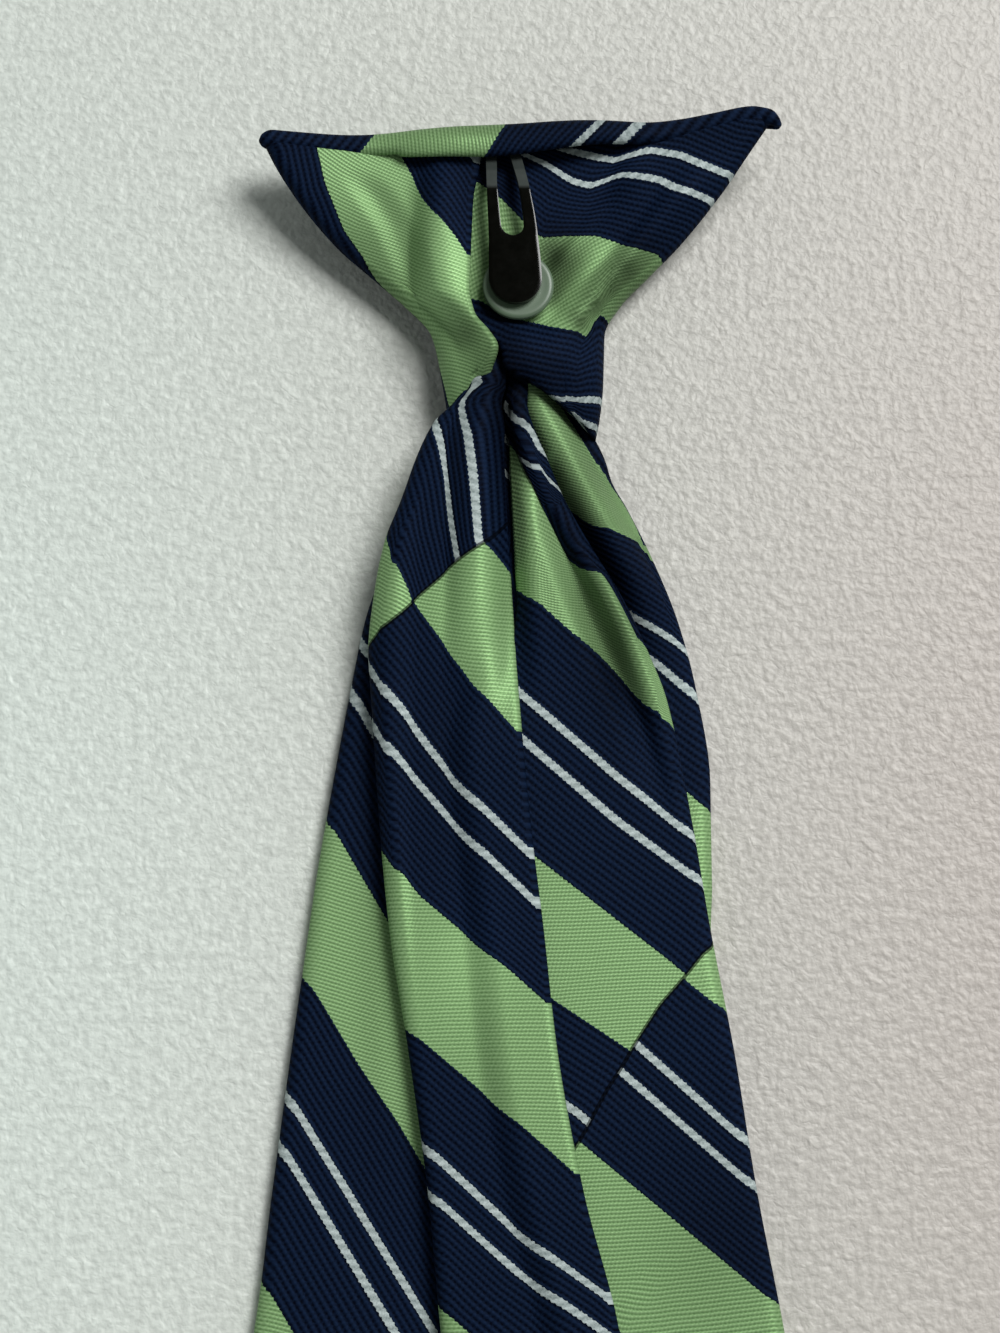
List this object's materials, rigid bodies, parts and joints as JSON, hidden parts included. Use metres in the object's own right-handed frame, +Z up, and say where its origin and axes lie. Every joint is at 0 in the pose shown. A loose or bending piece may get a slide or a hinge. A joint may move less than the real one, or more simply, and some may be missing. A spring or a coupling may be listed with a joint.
{
  "type": "clip-on necktie",
  "caption": "Clip-on necktie lying face down: wound cloth knot with a spring clip and collar plate, striped front blade and narrower tail behind it.",
  "frame": {"origin": "middle of the underside of the whole tie, on the surface that it lies on", "axes": "+Y along the tie from the point of the blade to the knot, +X across it, +Z up out of its back, where the clip is"},
  "size_m": [0.086, 0.508, 0.0128],
  "materials": {
    "striped_cloth": "navy and green satin-sheen repp with pairs of white lines",
    "milky_plastic": "milky, slightly see-through moulded plastic",
    "black_steel": "gloss black lacquer on spring steel"
  },
  "bodies": {
    "root": {"front_blade": "striped_cloth", "tail": "striped_cloth", "knot_wrap": "striped_cloth", "knot_hem": "striped_cloth", "collar_plate": "milky_plastic", "spring_clip": "black_steel"}
  },
  "joints": []
}
